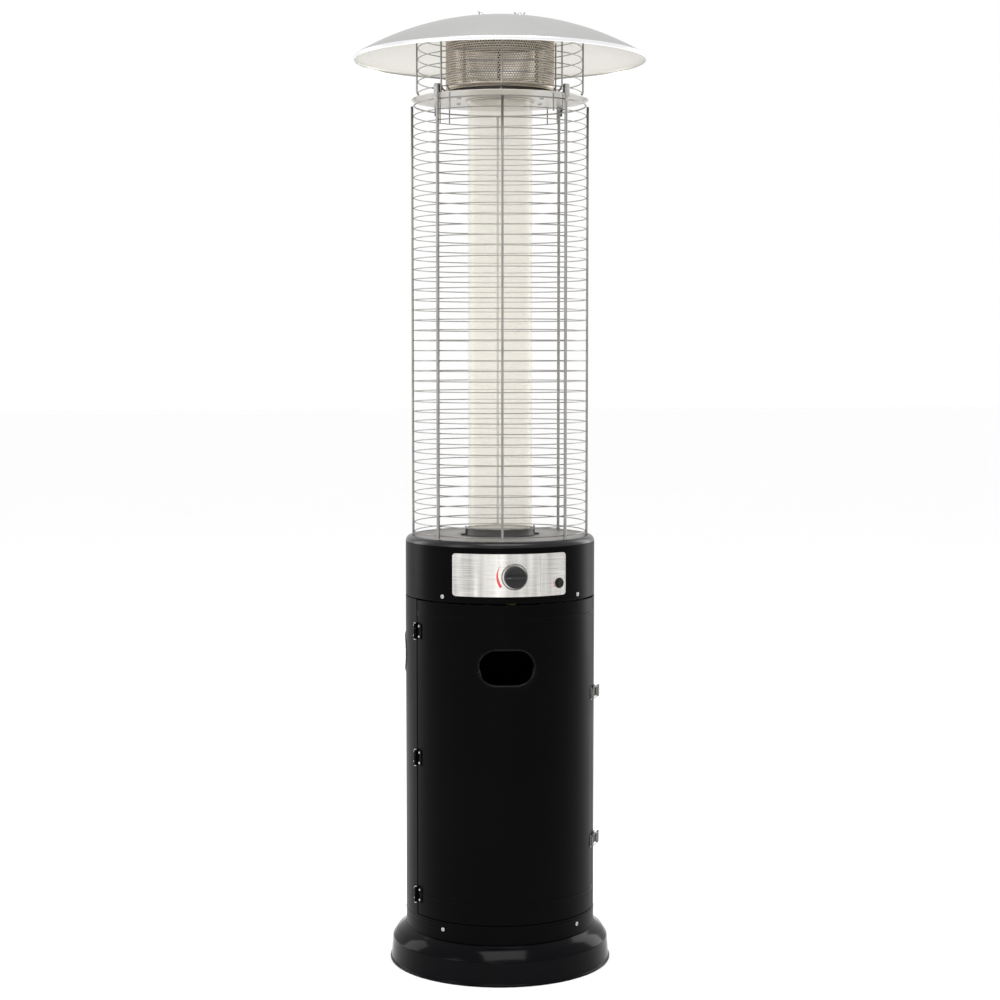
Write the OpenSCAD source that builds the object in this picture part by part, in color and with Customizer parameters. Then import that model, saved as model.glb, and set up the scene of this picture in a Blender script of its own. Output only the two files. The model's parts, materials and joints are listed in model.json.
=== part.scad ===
// Free-standing gas patio heater with a glass flame tube, a round bottle housing and a dome hood.
// Millimetres. The origin is on the floor at the vertical axis, +Z is up and -Y is the front.
// Angles round the axis are counted from the front, positive towards +X.

/* [Base] */
// Radius of the base cover at the floor
base_r = 218; // [205:1:235]
// Radius of the base cover at its shoulder
shoulder_r = 212.5; // [203:0.5:225]
// Height of the base cover's shoulder
shoulder_z = 49; // [40:1:55]
// Height of the top of the base cover
base_h = 72; // [66:1:76]

/* [Body] */
// Outer radius of the bottle housing
body_r = 185.5; // [180:0.5:195]
// Thickness of the housing sheet
sheet = 1.2; // [1:0.1:1.6]
// Height of the top of the lower band
band_top = 108; // [100:1:115]
// Height of the top of the door and the rear shell
shell_top = 724; // [715:1:726]
// Half of the angle that the door covers
door_half = 67.5; // [55:0.5:70]
// Height of the middle of the door's hand hole
hole_z = 604; // [560:1:620]
// Height of the middle of the side hand holes
side_hole_z = 610; // [560:1:620]
// Width of a hand hole
hole_w = 104; // [90:1:115]
// Height of a hand hole
hole_h = 63; // [50:1:70]
// Angle of the hand hole in the door
door_hole_a = -4.5; // [-10:0.5:10]
// Angle of the two hand holes in the rear shell
side_hole_a = 106; // [90:1:120]

/* [Hinges and latches] */
// Heights of the hinge centres
hinge_zs = [148, 417, 663]; // [130:1:690]
// Angle of the hinge axis
hinge_a = -68; // [-68.5:0.1:-67.9]
// Height of one hinge
hinge_h = 30; // [26:1:40]
// Radius of a hinge pin
pin_r = 2; // [1.5:0.1:2.2]
// Heights of the latch centres
latch_zs = [242, 534]; // [200:1:680]
// Angle of the latch lever's pivot
latch_a = 75; // [74.5:0.1:75.5]

/* [Control head] */
// Height of the bottom of the control housing
head_z = 726; // [726:0.5:730]
// Height of the flat top of the control housing
deck_z = 842; // [838:1:850]
// Radius of the rounded shoulder of the control housing
head_round = 12; // [8:1:14]
// Angle of the middle of the control panel
panel_a = -2; // [-4:0.5:0]
// Half of the angle that the control panel covers
panel_half = 35.6; // [33.5:0.1:38]
// Lowest edge of the control panel
panel_z = 739; // [736:1:745]
// Height of the control panel
panel_h = 81; // [76:1:84]
// Height of the knob's axis
knob_z = 777; // [776:1:784]
// Radius of the knob
knob_r = 21; // [17:0.5:21.5]
// Travel of the knob when it is pressed
knob_travel = 3; // [2:0.5:3]
// Angle of the igniter button
button_a = 28.5; // [26:0.5:30]
// Height of the igniter button
button_z = 762; // [756:1:770]
// Radius of the igniter button
button_r = 7; // [5:0.5:7.2]

/* [Glass tube and guard] */
// Outer radius of the glass tube
glass_r = 63; // [58:0.5:63]
// Wall of the glass tube
glass_wall = 3; // [2:0.5:4]
// Height of the bottom of the glass tube
glass_z = 852; // [851:0.5:853]
// Height of the top of the glass tube
glass_top = 1680; // [1640:1:1682]
// Turn of the whole guard about the axis
cage_turn = -7; // [-15:0.5:15]
// Radius of the guard rings at the middle of the wire
ring_r = 166.95; // [160:0.05:166.95]
// Radius of the ring wire
wire_r = 1; // [0.8:0.1:1.2]
// Radius of the guard's middle rods
rod_r = 2.5; // [2:0.1:2.5]
// Radius of the support posts
post_r = 3; // [2.5:0.1:3]
// Height of the lowest evenly spaced ring
ring_z = 867; // [860:1:875]
// Height of the top ring
ring_top = 1674; // [1660:1:1676]
// Number of evenly spaced rings
ring_count = 42; // [20:1:50]

/* [Head] */
// Height of the underside of the head disc
disc_z = 1684; // [1683:0.5:1685]
// Radius of the head disc
disc_r = 171.5; // [168:0.5:172]
// Radius of the emitter screen
emitter_r = 105; // [95:1:110]
// Lowest height of the emitter screen
emitter_z = 1700; // [1698:1:1702]
// Height of the emitter screen
emitter_h = 100; // [90:1:105]
// Radius of the head guard's rods at the middle of the wire
head_guard_r = 161; // [155:0.5:161]
// Radius of the hood
hood_r = 284; // [270:1:300]
// Radius of the dome's sphere
dome_r = 556; // [540:1:600]
// Height of the dome's highest point
apex_z = 1843.4; // [1840:0.1:1845]
// Thickness of the hood
hood_wall = 1; // [0.8:0.1:1.5]
// Lowest height of the hood's rim
rim_z = 1760; // [1757:0.5:1763]
// Distance of the hood studs from the axis
stud_ring = 43; // [38:1:50]

/* [Hidden] */

$fn = 96;
wire_fn = 32;          // sides of thin round wire
sweep_fn = 180;        // steps of a wide ring
gap = 0.15;            // clearance between fixed curved faces
run_gap = 0.08;        // radial clearance of a turning fit
flange = 13;           // inward flange of the shell and the door
bead = 0.6;            // height of the pressed beads
shell_z = band_top + 0.2;
door_z0 = shell_z + 1.6;
door_z1 = shell_top - 1.2;
shell_a0 = door_half + 0.7;
shell_a1 = 360 - door_half - 1.1;
axis_out = 4.2;        // hinge axis outside the body's radius
knuckle_r = 3.2;
leaf_angle = 5;        // angle from the hinge axis to a leaf's far edge
leaf_start = 1.05;     // angle from the hinge axis to a leaf's near edge
panel_r = body_r + gap;
panel_t = 1.2;
post_ring = ring_r + wire_r + post_r + 0.25;
rod_ring = ring_r + wire_r + rod_r - 0.15;
ring_step = (ring_top - ring_z) / (ring_count - 1);
head_wire = 1.6;
ring_zs = [849, for (i = [0:ring_count - 1]) ring_z + i * ring_step];
head_ring_zs = [for (i = [0:5]) 1698 + i * 21.5];
screw_as = [-44.5, 44.5, 135.5, 224.5];
stud_as = [for (i = [0:2]) cage_turn + 60 + 120 * i];

// ---- helpers -------------------------------------------------------------------------------

module tube(r_out, r_in, h) {
    difference() {
        cylinder(r = r_out, h = h);
        translate([0, 0, -1]) cylinder(r = r_in, h = h + 2);
    }
}

module turned(a) { rotate([0, 0, a]) children(); }

// Places children at an angle and a radius, with their +X along the circle and -Y outwards
module at_angle(a, r, z = 0) {
    turned(a) translate([0, -r, z]) children();
}

// Ring sector from angle a0 to a1
module arc_shell(r_out, r_in, z0, z1, a0, a1) {
    turned(a0 - 90) rotate_extrude(angle = a1 - a0, $fn = sweep_fn)
        translate([r_in, z0]) square([r_out - r_in, z1 - z0]);
}

module wire_arc(r, wire, z, a0, a1) {
    turned(a0 - 90) rotate_extrude(angle = a1 - a0, $fn = sweep_fn)
        translate([r, z]) circle(r = wire, $fn = wire_fn);
}

module stadium(w, h) {
    square([w - h, h], center = true);
    for (s = [-1, 1]) translate([s * (w - h) / 2, 0]) circle(r = h / 2);
}

module rounded_rect(w, h, r) {
    square([w - 2 * r, h], center = true);
    square([w, h - 2 * r], center = true);
    for (x = [-1, 1], y = [-1, 1])
        translate([x * (w / 2 - r), y * (h / 2 - r)]) circle(r = r, $fn = 48);
}

// Extrudes a flat shape outwards from radius r0 to r1
module outward(a, z, r0, r1) {
    at_angle(a, r0, z) rotate([90, 0, 0]) linear_extrude(r1 - r0) children();
}

module radial_pin(a, z, r0, r1, r) {
    at_angle(a, r0, z) rotate([90, 0, 0]) cylinder(r = r, h = r1 - r0, $fn = 48);
}

// Pan-head screw whose head stands on radius r
module pan_screw(a, z, r) {
    radial_pin(a, z, r + gap, r + 1.6, 4);
    radial_pin(a, z, r + 1.5, r + 2.4, 2.8);
    radial_pin(a, z, r - 7, r + 1, 1.9);
}

// ---- base ----------------------------------------------------------------------------------

module base_cover() {
    wall = 1.5;
    slope_r = body_r + 1;
    color("black") rotate_extrude($fn = sweep_fn) {
        polygon([[base_r - 14, 0], [base_r, 0], [base_r, 5], [base_r - 1.5, 6.5],
                 [shoulder_r, shoulder_z - 3], [shoulder_r - 3, shoulder_z + 1],
                 [slope_r + 3, base_h - 3], [slope_r - 1, base_h],
                 [body_r - 20, base_h], [body_r - 20, base_h - wall],
                 [slope_r - 2, base_h - wall], [slope_r + 2, base_h - 4.5],
                 [shoulder_r - 4.5, shoulder_z - 0.5], [shoulder_r - wall, shoulder_z - 3.5],
                 [base_r - 3, 6], [base_r - wall, 5], [base_r - wall, wall],
                 [base_r - 14, wall]]);
    }
}

module base_plate() {
    color("dimgray") translate([0, 0, base_h + 0.1]) {
        cylinder(r = body_r - sheet - 0.4, h = 2);
        // low ring that keeps the bottle's foot in place
        translate([0, 0, 1.9]) tube(164, 162.5, 5);
    }
}

module lower_band() {
    bead_z = base_h + 29;
    color("black") difference() {
        union() {
            translate([0, 0, base_h + 0.1])
                tube(body_r, body_r - sheet, band_top - base_h - 0.1);
            translate([0, 0, bead_z]) tube(body_r + bead, body_r - sheet / 2, 2);
        }
        for (a = screw_as) radial_pin(a, base_h + 21, body_r - 8, body_r + 8, 2.1);
    }
}

// ---- shells and door -----------------------------------------------------------------------

module hand_hole(a, z) {
    outward(a, z, body_r - 30, body_r + 20) stadium(hole_w, hole_h);
}

// Raised rim round a hand hole
module hole_rim(a, z) {
    intersection() {
        arc_shell(body_r + 2, body_r - sheet, z - 50, z + 50, a - 30, a + 30);
        outward(a, z, body_r - 30, body_r + 20) difference() {
            stadium(hole_w + 17, hole_h + 21);
            stadium(hole_w, hole_h);
        }
    }
}

module shell_flanges(z0, z1, a0, a1) {
    for (z = [z0, z1 - sheet])
        arc_shell(body_r - sheet / 2, body_r - flange, z, z + sheet, a0, a1);
}

module rear_shell() {
    edge = 0.38; // angle that one sheet thickness covers
    color("black") difference() {
        union() {
            arc_shell(body_r, body_r - sheet, shell_z, shell_top, shell_a0, shell_a1);
            shell_flanges(shell_z, shell_top, shell_a0, shell_a1);
            for (a = [shell_a0, shell_a1 - edge])
                arc_shell(body_r - sheet / 2, body_r - flange, shell_z, shell_top, a, a + edge);
            for (s = [-1, 1]) hole_rim(s * side_hole_a, side_hole_z);
        }
        for (s = [-1, 1]) hand_hole(s * side_hole_a, side_hole_z);
    }
}

module door() {
    color("black") difference() {
        union() {
            arc_shell(body_r, body_r - sheet, door_z0, door_z1, -door_half, door_half);
            shell_flanges(door_z0, door_z1, -door_half, door_half);
            for (z = [door_z0 + 39, door_z1 - 26])
                arc_shell(body_r + bead, body_r - sheet / 2, z, z + 2, -door_half + 6, door_half - 6);
            hole_rim(door_hole_a, hole_z);
        }
        hand_hole(door_hole_a, hole_z);
    }
}

module housing_screws() {
    color("silver") for (a = screw_as) {
        pan_screw(a, base_h + 21, body_r);
        pan_screw(a, head_z + 10, body_r);
    }
}

// ---- hinges --------------------------------------------------------------------------------

module at_hinge(z) { at_angle(hinge_a, body_r + axis_out, z) children(); }

// One leaf: a curved plate and its knuckles, each on a small web; side is -1 on the body
module hinge_leaf(z, side, knuckles, bore) {
    near = hinge_a + side * leaf_start;
    far = hinge_a + side * leaf_angle;
    web = 4.6;             // how far a web runs along the circle
    difference() {
        union() {
            arc_shell(body_r + gap + 1.5, body_r + gap, z - hinge_h / 2, z + hinge_h / 2,
                      min(near, far), max(near, far));
            for (k = knuckles) at_hinge(z + k[0]) {
                cylinder(r = knuckle_r, h = k[1] - k[0]);
                translate([side < 0 ? -web : 0, 1.7, 0]) cube([web, 1.25, k[1] - k[0]]);
            }
        }
        at_hinge(z - hinge_h) cylinder(r = bore, h = 2 * hinge_h, $fn = 48);
    }
}

body_knuckles = [[-hinge_h / 2, -5.3], [5.3, hinge_h / 2]];
door_knuckles = [[-5, 5]];

module hinge_body_leaves() {
    color("dimgray") for (z = hinge_zs)
        hinge_leaf(z, -1, body_knuckles, pin_r);
}

module hinge_door_leaves() {
    color("dimgray") for (z = hinge_zs)
        hinge_leaf(z, 1, door_knuckles, pin_r + run_gap);
}

module leaf_rivets(side) {
    for (z = hinge_zs, dz = [-10, 10])
        radial_pin(hinge_a + side * 3, z + dz, body_r + gap + 1.6, body_r + 3.2, 2.3);
}

module hinge_body_rivets() { color("silver") leaf_rivets(-1); }
module hinge_door_rivets() { color("silver") leaf_rivets(1); }

// ---- latches -------------------------------------------------------------------------------

pivot_out = 5.2;       // lever pivot outside the body's radius
latch_pin_r = 1.5;
lug_r = 2.9;           // rounded end of the lugs that carry a lever
bail_wire = 0.8;
bail_half = 11.2;      // half of the bail's height
bail_pivot = [5, 6.6]; // along the circle and outwards
bail_end = [-27, 1];

// Box in latch coordinates: along the circle, outwards and up
module latch_box(z, t, n, h) {
    at_angle(latch_a, body_r, z) translate([t[0], -n[1], h[0]])
        cube([t[1] - t[0], n[1] - n[0], h[1] - h[0]]);
}

module latch_bar(z, p, h, r) {
    at_angle(latch_a, body_r, z) translate([p[0], -p[1], h[0]])
        cylinder(r = r, h = h[1] - h[0], $fn = 48);
}

module latch_bases() {
    color("silver") for (z = latch_zs) difference() {
        union() {
            latch_box(z, [-8, 16], [0.2, 1.7], [-11, 11]);
            for (s = [-1, 1]) {
                lug = [s * 7.75 - 0.75, s * 7.75 + 0.75];
                latch_box(z, [-lug_r, lug_r], [1, pivot_out], lug);
                latch_bar(z, [0, pivot_out], lug, lug_r);
            }
        }
        latch_bar(z, [0, pivot_out], [-14, 14], latch_pin_r);
    }
}

// The pins of the three hinges and of the two latch levers
module pivot_pins() {
    head_h = 1.4;
    color("silver") {
        for (z = hinge_zs) at_hinge(z) {
            translate([0, 0, -hinge_h / 2 - 1]) cylinder(r = pin_r, h = hinge_h + 2, $fn = 48);
            for (s = [-1, 1]) translate([0, 0, s * (hinge_h / 2 + 0.8) - head_h / 2])
                cylinder(r = pin_r + 0.9, h = head_h, $fn = 48);
        }
        for (z = latch_zs) latch_bar(z, [0, pivot_out], [-8.6, 8.6], latch_pin_r);
    }
}

module latch_lever(z) {
    color("silver") difference() {
        union() {
            latch_box(z, [-2, 20], [8.6, 10.1], [-10.2, 10.2]);
            latch_box(z, [18.8, 20], [6.5, 9], [-10.2, 10.2]);
            latch_box(z, [-2, 2.4], [5, 9], [-6.5, 6.5]);
            latch_bar(z, [0, pivot_out], [-6.5, 6.5], 2.8);
            for (s = [-1, 1]) latch_box(z, [3.4, 7], [4.8, 9], [s * 9.6 - 0.6, s * 9.6 + 0.6]);
        }
        latch_bar(z, [0, pivot_out], [-14, 14], latch_pin_r + run_gap);
        latch_bar(z, bail_pivot, [-14, 14], bail_wire + run_gap);
    }
}

module latch_lever_lower() { latch_lever(latch_zs[0]); }
module latch_lever_upper() { latch_lever(latch_zs[1]); }

// Wire loop: two leaning arms, a bar behind the hook plate and two short pivot ends
module latch_bail(z) {
    run = bail_end - bail_pivot;
    lean = atan2(-run[1], -run[0]);
    over = 0.5;            // each arm runs a little past its bar
    bar_r = bail_wire - 0.1;
    color("silver") {
        for (s = [-1, 1]) {
            latch_bar(z, bail_pivot, s < 0 ? [-bail_half, -8.8] : [8.8, bail_half], bar_r);
            at_angle(latch_a, body_r, z) translate([bail_pivot[0], -bail_pivot[1], s * bail_half])
                rotate([0, 0, -lean]) translate([over, 0, 0]) rotate([0, -90, 0])
                    cylinder(r = bail_wire, h = norm(run) + 2 * over, $fn = 48);
        }
        latch_bar(z, bail_end, [-bail_half, bail_half], bar_r);
    }
}

module latch_bail_lower() { latch_bail(latch_zs[0]); }
module latch_bail_upper() { latch_bail(latch_zs[1]); }

// Hook plates on the door that the bails pull on
module latch_keepers() {
    keeper_a = latch_a - 10.1;
    color("silver") for (z = latch_zs) {
        arc_shell(body_r + gap + 1, body_r + gap, z - 12, z + 12, keeper_a - 1.8, keeper_a + 1);
        arc_shell(body_r + 3.5, body_r + gap, z - 9, z + 9, keeper_a + 0.2, keeper_a + 1);
    }
}

// ---- control head --------------------------------------------------------------------------

module housing_floor() {
    color("dimgray") difference() {
        translate([0, 0, head_z]) cylinder(r = body_r - sheet - 0.4, h = 1.5);
        translate([0, -150, head_z - 1]) cylinder(r = 14, h = 4);
        for (a = [0, 90, 180, 270]) turned(a + 45) translate([120, 0, head_z - 1])
            cylinder(r = 12, h = 4);
    }
}

module control_housing() {
    r = body_r - 0.2;
    top_in = body_r - 20.5;
    color("black") difference() {
        rotate_extrude($fn = sweep_fn) {
            translate([r - sheet, head_z]) square([sheet, deck_z - head_round - head_z]);
            translate([top_in, deck_z - sheet]) square([r - head_round - top_in, sheet]);
            translate([r - head_round, deck_z - head_round]) intersection() {
                difference() {
                    circle(r = head_round);
                    circle(r = head_round - sheet);
                }
                square(head_round);
            }
        }
        for (a = screw_as) radial_pin(a, head_z + 10, body_r - 8, body_r + 8, 2.1);
        radial_pin(0, knob_z, body_r - 10, body_r + 8, 6);
        radial_pin(button_a, button_z, body_r - 10, body_r + 8, button_r + 0.6);
    }
}

module control_panel() {
    color("gainsboro") difference() {
        intersection() {
            arc_shell(panel_r + panel_t, panel_r, panel_z, panel_z + panel_h, -60, 60);
            outward(panel_a, panel_z + panel_h / 2, 60, body_r + 20)
                rounded_rect(2 * panel_r * sin(panel_half), panel_h, 6);
        }
        radial_pin(0, knob_z, body_r - 10, body_r + 8, 6);
        radial_pin(button_a, button_z, body_r - 10, body_r + 8, button_r + 0.6);
    }
}

module knob_bezel() {
    front = body_r + 4.5;
    color("silver") difference() {
        radial_pin(0, knob_z, body_r - 4, front, knob_r + 4.6);
        radial_pin(0, knob_z, body_r - 9, front + 5, knob_r + 1);
        translate([0, 0, knob_z - 40]) cylinder(r = panel_r + panel_t + gap, h = 80, $fn = sweep_fn);
    }
}

module knob() {
    back = body_r + 1.8 + knob_travel;
    color("darkslategray") difference() {
        union() {
            radial_pin(0, knob_z, back, back + 13, knob_r);
            intersection() {
                radial_pin(0, knob_z, back + 12, back + 23, knob_r - 1);
                translate([-30, -back - 22, knob_z - 4]) cube([60, 11, 8]);
            }
        }
        radial_pin(0, knob_z, back - 1, back + 9.5, 4 + run_gap);
    }
}

module valve_stem() {
    color("silver") radial_pin(0, knob_z, body_r - 40.5, body_r + 13.5, 4);
}

module stem_collar() {
    color("gold") difference() {
        radial_pin(0, knob_z, body_r - 16.5, body_r - 10.5, 7.5);
        radial_pin(0, knob_z, body_r - 20, body_r - 5, 4 + run_gap);
    }
}

module gas_valve() {
    color("silver") difference() {
        union() {
            translate([-22, -165, knob_z - 25]) cube([44, 30, 50]);
            translate([12, -150, knob_z]) rotate([0, 90, 0]) cylinder(r = 9, h = 20);
        }
        radial_pin(0, knob_z, 141, 170, 4.6);
    }
}

module gas_inlet() {
    color("gold") translate([0, -150, 0]) {
        translate([0, 0, 700]) cylinder(r = 8.3, h = 30);
        translate([0, 0, 729]) cylinder(r = 12, h = 14, $fn = 6);
        translate([0, 0, 742]) cylinder(r = 7, h = knob_z - 25.1 - 742);
    }
}

module gas_pipe() {
    turn_r = 14;
    color("goldenrod") {
        translate([0, -134.9, 770]) rotate([-90, 0, 0]) cylinder(r = 4, h = 134.9 - turn_r, $fn = 48);
        translate([0, -turn_r, 770 - turn_r]) rotate([90, 0, 90])
            rotate_extrude(angle = 90, $fn = 48) translate([turn_r, 0]) circle(r = 4, $fn = 48);
        translate([0, 0, 748]) cylinder(r = 4, h = 770 - turn_r - 748, $fn = 48);
        translate([0, 0, 744]) cylinder(r = 7, h = 5, $fn = 6);
        translate([0, 0, 738]) cylinder(r = 3, h = 7, $fn = 48);
    }
}

module injector() {
    color("gold") translate([0, 0, 730]) difference() {
        cylinder(r = 8, h = 13.9, $fn = 6);
        translate([0, 0, 7.9]) cylinder(r = 3.2, h = 8, $fn = 48);
    }
}

module mixer_tube() {
    color("silver") difference() {
        union() {
            translate([0, 0, 774.2]) cylinder(r = 16, h = 2);
            translate([0, 0, 776]) tube(14, 12.5, 14);
        }
        translate([0, 0, 770]) cylinder(r = 6, h = 30, $fn = 48);
    }
}

module burner_body() {
    color("silver") difference() {
        translate([0, 0, 790.2]) cylinder(r = 50, h = 55);
        translate([0, 0, 791.7]) cylinder(r = 48.5, h = 60);
        translate([0, 0, 780]) cylinder(r = 12.5, h = 20);
    }
}

module burner_mesh() {
    color("gray") {
        translate([0, 0, 845.3]) cylinder(r = 49.5, h = 1.5);
        translate([0, 0, 840]) tube(48.3, 47, 5.5);
    }
}

module pilot_burner() {
    color("silver") translate([28, -68, 800]) {
        cylinder(r = 3, h = 34, $fn = 48);
        translate([0, 0, 30]) cylinder(r = 5, h = 6, $fn = 48);
    }
}

module flame_sensor() {
    color("silver") translate([40, -60, 800]) {
        cylinder(r = 1.6, h = 36, $fn = 48);
        cylinder(r = 4, h = 8, $fn = 48);
    }
}

module igniter_bezel() {
    color("black") difference() {
        radial_pin(button_a, button_z, body_r - 2, body_r + 3.2, button_r + 3);
        radial_pin(button_a, button_z, body_r - 9, body_r + 9, button_r + 0.6);
        translate([0, 0, button_z - 20]) cylinder(r = panel_r + panel_t + gap, h = 40, $fn = sweep_fn);
    }
}

module igniter_body() {
    color("black") difference() {
        radial_pin(button_a, button_z, body_r - 55, body_r - 5, 10);
        radial_pin(button_a, button_z, body_r - 30, body_r, 3 + run_gap);
    }
}

module igniter_button() {
    color("black") {
        radial_pin(button_a, button_z, body_r + 1.2, body_r + 7, button_r);
        radial_pin(button_a, button_z, body_r - 20, body_r + 2, 3);
    }
}

module tilt_switch() {
    color("dimgray") translate([70, 60, head_z + 1.6]) {
        translate([-15, -12, 0]) cube([30, 24, 3]);
        translate([0, 0, 2.9]) cylinder(r = 10, h = 20);
    }
}

// ---- deck and flame tube -------------------------------------------------------------------

module top_deck() {
    color("gray") translate([0, 0, deck_z - 3.4]) difference() {
        cylinder(r = body_r - 16, h = 2, $fn = sweep_fn);
        translate([0, 0, -1]) cylinder(r = 56, h = 4);
        for (p = [[28, -68, 6], [40, -60, 3]]) translate([p[0], p[1], -1])
            cylinder(r = p[2], h = 4, $fn = 48);
    }
}

module tube_seat() {
    color("dimgray") translate([0, 0, deck_z - 1.3]) difference() {
        union() {
            cylinder(r = glass_r + 6, h = 2);
            cylinder(r = glass_r + 3, h = 15);
        }
        translate([0, 0, -1]) cylinder(r = 56, h = 30);
        translate([0, 0, 7.2]) cylinder(r = glass_r + 0.8, h = 30);
        for (p = [[28, -68, 6], [40, -60, 3]]) translate([p[0], p[1], -1])
            cylinder(r = p[2], h = 4, $fn = 48);
    }
}

module tube_gasket() {
    color("white") translate([0, 0, deck_z + 6]) tube(glass_r + 0.5, 58.5, glass_z - deck_z - 6.1);
}

module tube_clips() {
    color("darkgray") for (a = [90, 270, 180]) at_angle(a, glass_r + 8, deck_z - 1.3) {
        translate([-5, -6, 0]) cube([10, 7.8, 3.4]);
        translate([-5, -6, 2.1]) cube([10, 10, 1.3]);
        translate([-5, 2.6, 2.1]) cube([10, 1.4, 15.9]);
    }
}

module glass_tube() {
    color("ivory", 0.6) translate([0, 0, glass_z])
        tube(glass_r, glass_r - glass_wall, glass_top - glass_z);
}

// ---- guard ---------------------------------------------------------------------------------

module support_posts() {
    color("silver") for (i = [0:3])
        at_angle(cage_turn + 45 + 90 * i, post_ring, deck_z + 0.1)
            cylinder(r = post_r, h = 1700.3 - deck_z, $fn = 48);
}

// A quarter of the guard: one middle rod and the ring arcs that are welded to it
module guard_panel(i) {
    mid = cage_turn + 90 * i;
    color("silver") {
        at_angle(mid, rod_ring, deck_z + 0.2)
            cylinder(r = rod_r, h = ring_top - deck_z, $fn = 48);
        for (z = ring_zs) wire_arc(ring_r, wire_r, z, mid - 44.95, mid + 44.95);
    }
}

module post_brackets() {
    width = 9;
    out_r = post_ring + post_r + 0.4;
    in_r = post_ring - post_r - 0.4;
    color("silver") for (i = [0:3]) turned(cage_turn + 45 + 90 * i) {
        translate([-width / 2, -out_r - 1.5, 1668]) cube([width, 1.5, 34]);
        translate([-width / 2, -out_r - 1.5, 1700.6]) cube([width, out_r - in_r + 3, 1.4]);
        translate([-width / 2, -in_r, disc_z + 2.1]) cube([width, 1.5, 1702 - disc_z - 2.1]);
    }
}

// ---- head ----------------------------------------------------------------------------------

module head_disc() {
    color("gainsboro") difference() {
        translate([0, 0, disc_z]) cylinder(r = disc_r, h = 2, $fn = sweep_fn);
        translate([0, 0, disc_z - 1]) cylinder(r = glass_r + 3.4, h = 4);
        for (i = [0:3]) at_angle(cage_turn + 45 + 90 * i, post_ring, disc_z - 1)
            cylinder(r = post_r + 0.5, h = 4, $fn = 48);
    }
}

module tube_collar() {
    color("silver") {
        translate([0, 0, disc_z - 8]) tube(glass_r + 3.2, glass_r + 2, emitter_z - disc_z + 7.9);
        translate([0, 0, disc_z + 2.1]) tube(glass_r + 9, glass_r + 3, 1.2);
    }
}

module head_spacers() {
    color("silver") for (i = [0:5]) turned(cage_turn + 60 * i)
        translate([0, -92, disc_z + 2.1]) cylinder(r = 2.5, h = emitter_z - disc_z - 2.2, $fn = 48);
}

module emitter_screen() {
    color("tan") translate([0, 0, emitter_z]) tube(emitter_r, emitter_r - 1, emitter_h);
}

module emitter_plates() {
    color("silver") {
        translate([0, 0, emitter_z]) tube(emitter_r - 1.15, glass_r + 2, 1.2);
        translate([0, 0, emitter_z + emitter_h - 1.2]) cylinder(r = emitter_r - 1.15, h = 1.2);
        for (a = stud_as) turned(a) translate([0, -80, emitter_z + 1.1])
            cylinder(r = 3, h = emitter_h - 2.2, $fn = 48);
    }
}

module hood_studs() {
    color("silver") for (a = stud_as) turned(a) translate([0, -stud_ring, emitter_z + emitter_h + 0.1])
        cylinder(r = 3, h = 1849 - emitter_z - emitter_h, $fn = 48);
}

// A quarter of the small guard: two rods with bent feet and the ring arcs
module head_guard(i) {
    first = cage_turn + 90 * i;
    wire_ring = head_guard_r - head_wire - wire_r + 0.15;
    color("silver") {
        for (a = [first, first + 45]) {
            at_angle(a, head_guard_r, 1697) cylinder(r = head_wire, h = 115, $fn = wire_fn);
            at_angle(a, head_guard_r, 1697) sphere(r = head_wire, $fn = wire_fn);
            at_angle(a, head_guard_r, 1697) rotate([128, 0, 180])
                cylinder(r = head_wire, h = 14.5, $fn = wire_fn);
        }
        for (z = head_ring_zs) wire_arc(wire_ring, wire_r, z, first - 22.45, first + 67.45);
    }
}

// ---- hood ----------------------------------------------------------------------------------

module dome_profile() {
    intersection() {
        difference() {
            circle(r = dome_r, $fn = 720);
            circle(r = dome_r - hood_wall, $fn = 720);
        }
        square([hood_r - 0.5, dome_r + 10]);
    }
}

function dome_z(r) = apex_z - dome_r + sqrt(dome_r * dome_r - r * r);

module hood() {
    skirt_top = dome_z(hood_r - 0.5);
    color("gainsboro") difference() {
        rotate_extrude($fn = sweep_fn) {
            translate([0, apex_z - dome_r]) dome_profile();
            translate([hood_r - 1.2, rim_z]) square([1.2, skirt_top - rim_z]);
            translate([hood_r - 1.2, rim_z]) circle(r = 1.2, $fn = wire_fn);
        }
        for (a = stud_as) turned(a) translate([0, -stud_ring, apex_z - 20])
            cylinder(r = 3.3, h = 40, $fn = 48);
    }
}

module wing_nut() {
    color("silver") difference() {
        union() {
            cylinder(r = 8, h = 1.2, $fn = 48);
            cylinder(r = 5, h = 5, $fn = 48);
            for (s = [-1, 1]) translate([s * 7.5, 0, 3.4]) rotate([0, s * 40, 0])
                translate([-1.5, -1, -1.5]) cube([7, 2, 5.5]);
        }
        translate([0, 0, -1]) cylinder(r = 3.1, h = 12, $fn = 48);
    }
}

module wing_nuts() {
    for (a = stud_as) turned(a) translate([0, -stud_ring, dome_z(stud_ring - 8) + 0.35]) wing_nut();
}

// ---- the whole heater ----------------------------------------------------------------------

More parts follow.
